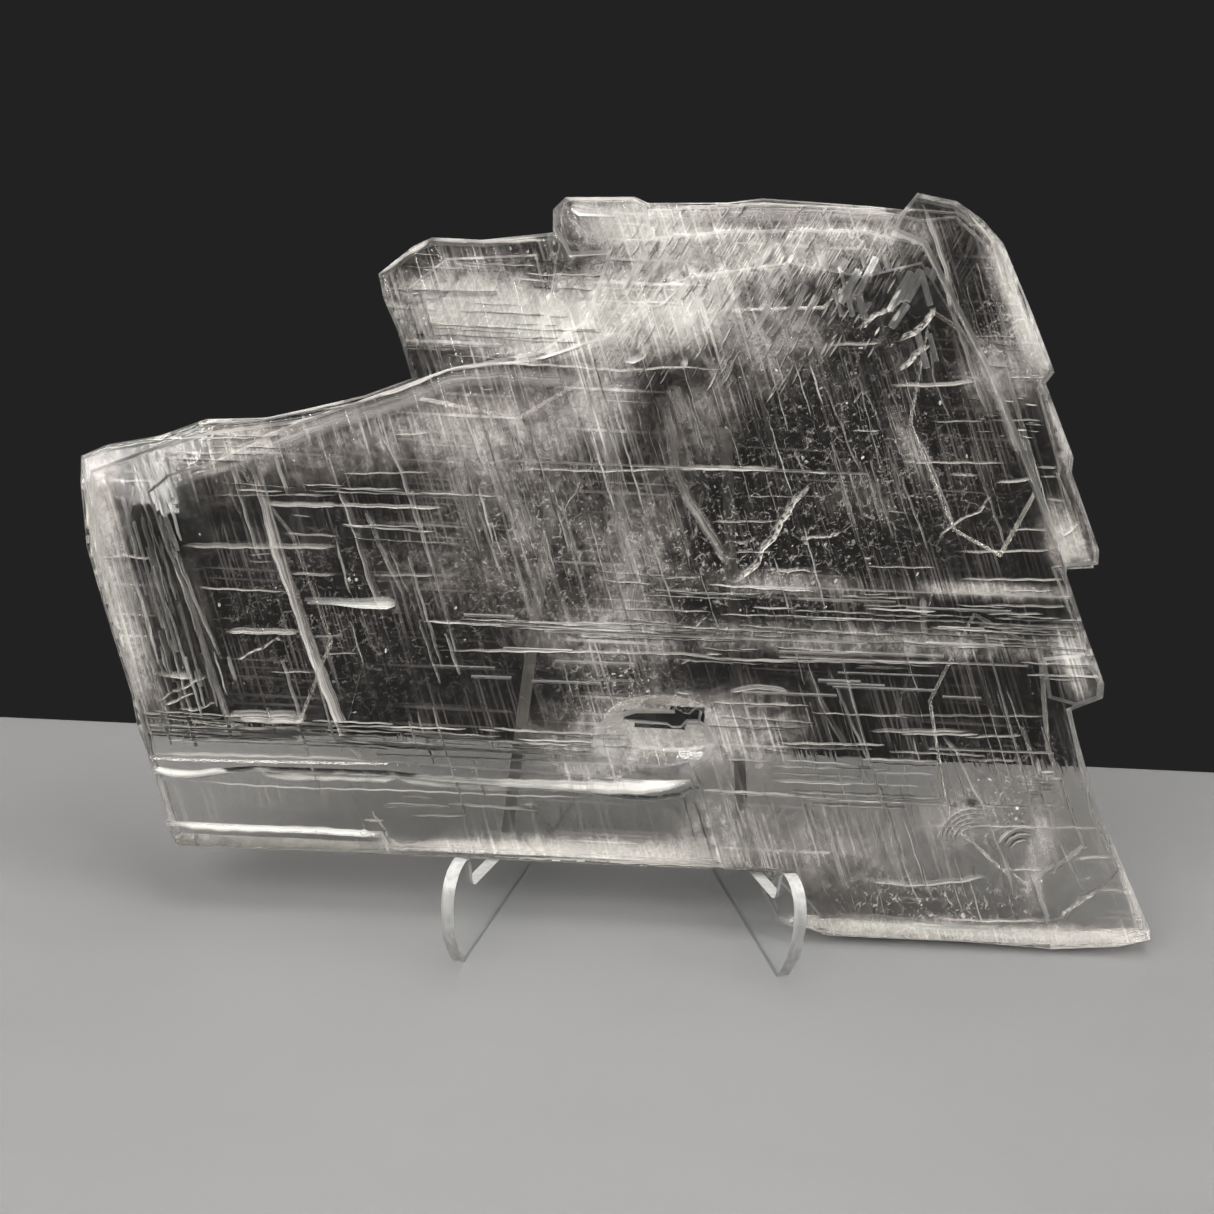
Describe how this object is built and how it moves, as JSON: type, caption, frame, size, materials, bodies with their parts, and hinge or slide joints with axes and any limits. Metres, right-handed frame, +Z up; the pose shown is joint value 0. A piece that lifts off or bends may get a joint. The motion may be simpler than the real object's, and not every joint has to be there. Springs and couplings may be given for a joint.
{
  "type": "selenite crystal on stand",
  "caption": "Broad clear selenite crystal plate with stepped split edges and a natural slot, leaning back in a bent clear sheet easel.",
  "frame": {"origin": "under the middle of the whole object, on the surface it stands on", "axes": "+X to the viewer's right along the crystal's length, +Y to the back, +Z up"},
  "size_m": [0.2652, 0.1244, 0.1721],
  "materials": {
    "selenite": "clear with white veils, silky split faces",
    "clear_sheet": "clear gloss with satin cut edges"
  },
  "bodies": {
    "root": {"selenite_crystal": "selenite", "easel": "clear_sheet"}
  },
  "joints": []
}
